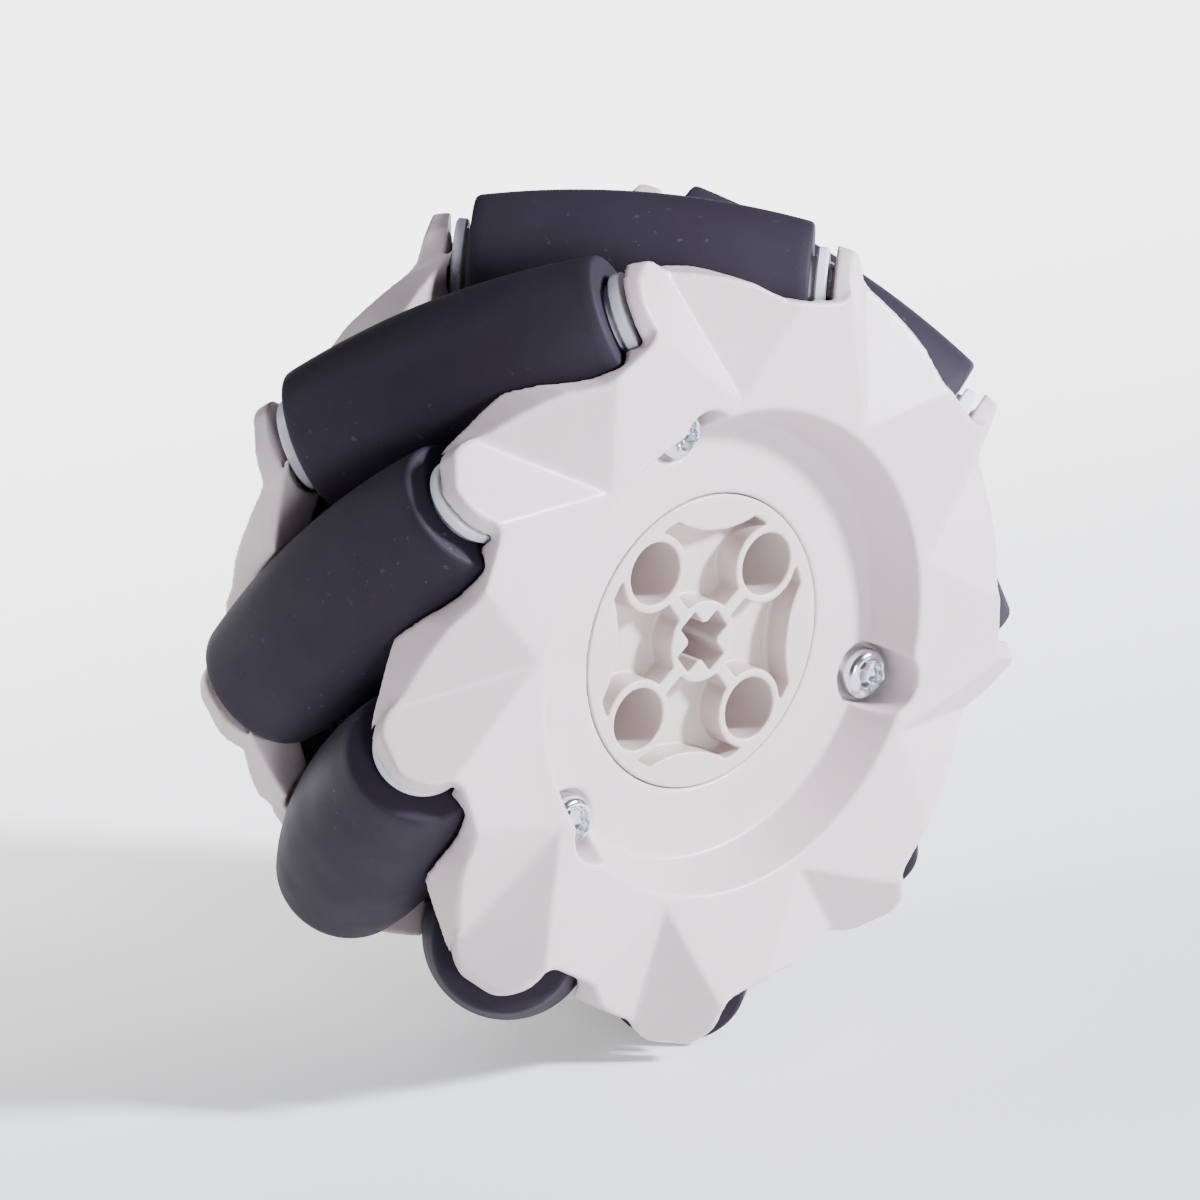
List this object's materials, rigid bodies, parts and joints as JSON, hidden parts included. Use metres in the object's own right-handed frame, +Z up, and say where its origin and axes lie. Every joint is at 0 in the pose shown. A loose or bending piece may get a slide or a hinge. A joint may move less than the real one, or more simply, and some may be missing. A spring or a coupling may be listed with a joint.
{
  "type": "mecanum wheel",
  "caption": "Omnidirectional mecanum wheel with rubber barrel rollers turning at 45 degrees between two lobed plastic plates, with a cross-shaped axle hole in its hub.",
  "frame": {"origin": "centre of the wheel, on its axle line, midway between the two side plates", "axes": "+Y along the axle line from the front plate to the back plate, +Z up, front face towards -Y"},
  "size_m": [0.0653, 0.0284, 0.0653],
  "materials": {
    "plate_plastic": "satin moulded plastic",
    "insert_plastic": "satin moulded plastic",
    "zinc_steel": "bright zinc plated",
    "core_plastic": "semi-gloss moulded plastic",
    "black_rubber": "matte moulded rubber",
    "pin_steel": "drawn steel"
  },
  "bodies": {
    "wheel": {"front_plate": "plate_plastic", "back_plate": "plate_plastic", "front_insert": "insert_plastic", "back_insert": "insert_plastic", "plate_screws": "zinc_steel", "axle_pin_1": "pin_steel", "axle_pin_2": "pin_steel", "axle_pin_3": "pin_steel", "axle_pin_4": "pin_steel", "axle_pin_5": "pin_steel", "axle_pin_6": "pin_steel", "axle_pin_7": "pin_steel", "axle_pin_8": "pin_steel", "axle_pin_9": "pin_steel"},
    "roller_1": {"roller_core_1": "core_plastic", "roller_sleeve_1": "black_rubber"},
    "roller_2": {"roller_core_2": "core_plastic", "roller_sleeve_2": "black_rubber"},
    "roller_3": {"roller_core_3": "core_plastic", "roller_sleeve_3": "black_rubber"},
    "roller_4": {"roller_core_4": "core_plastic", "roller_sleeve_4": "black_rubber"},
    "roller_5": {"roller_core_5": "core_plastic", "roller_sleeve_5": "black_rubber"},
    "roller_6": {"roller_core_6": "core_plastic", "roller_sleeve_6": "black_rubber"},
    "roller_7": {"roller_core_7": "core_plastic", "roller_sleeve_7": "black_rubber"},
    "roller_8": {"roller_core_8": "core_plastic", "roller_sleeve_8": "black_rubber"},
    "roller_9": {"roller_core_9": "core_plastic", "roller_sleeve_9": "black_rubber"}
  },
  "joints": [
    {"name": "roller_1_spin", "type": "hinge", "parent": "wheel", "child": "roller_1", "pos_m": [0.00227, 0, 0.0259], "axis": [0.7044, -0.7071, -0.0616], "continuous": true},
    {"name": "roller_2_spin", "type": "hinge", "parent": "wheel", "child": "roller_2", "pos_m": [-0.01491, 0, 0.0213], "axis": [0.5792, -0.7071, 0.4056], "continuous": true},
    {"name": "roller_3_spin", "type": "hinge", "parent": "wheel", "child": "roller_3", "pos_m": [-0.02511, 0, 0.00673], "axis": [0.183, -0.7071, 0.683], "continuous": true},
    {"name": "roller_4_spin", "type": "hinge", "parent": "wheel", "child": "roller_4", "pos_m": [-0.02356, 0, -0.01099], "axis": [-0.2988, -0.7071, 0.6409], "continuous": true},
    {"name": "roller_5_spin", "type": "hinge", "parent": "wheel", "child": "roller_5", "pos_m": [-0.01099, 0, -0.02356], "axis": [-0.6409, -0.7071, 0.2988], "continuous": true},
    {"name": "roller_6_spin", "type": "hinge", "parent": "wheel", "child": "roller_6", "pos_m": [0.00673, 0, -0.02511], "axis": [-0.683, -0.7071, -0.183], "continuous": true},
    {"name": "roller_7_spin", "type": "hinge", "parent": "wheel", "child": "roller_7", "pos_m": [0.0213, 0, -0.01491], "axis": [-0.4056, -0.7071, -0.5792], "continuous": true},
    {"name": "roller_8_spin", "type": "hinge", "parent": "wheel", "child": "roller_8", "pos_m": [0.0259, 0, 0.00227], "axis": [0.0616, -0.7071, -0.7044], "continuous": true},
    {"name": "roller_9_spin", "type": "hinge", "parent": "wheel", "child": "roller_9", "pos_m": [0.01838, 0, 0.01838], "axis": [0.5, -0.7071, -0.5], "continuous": true}
  ]
}
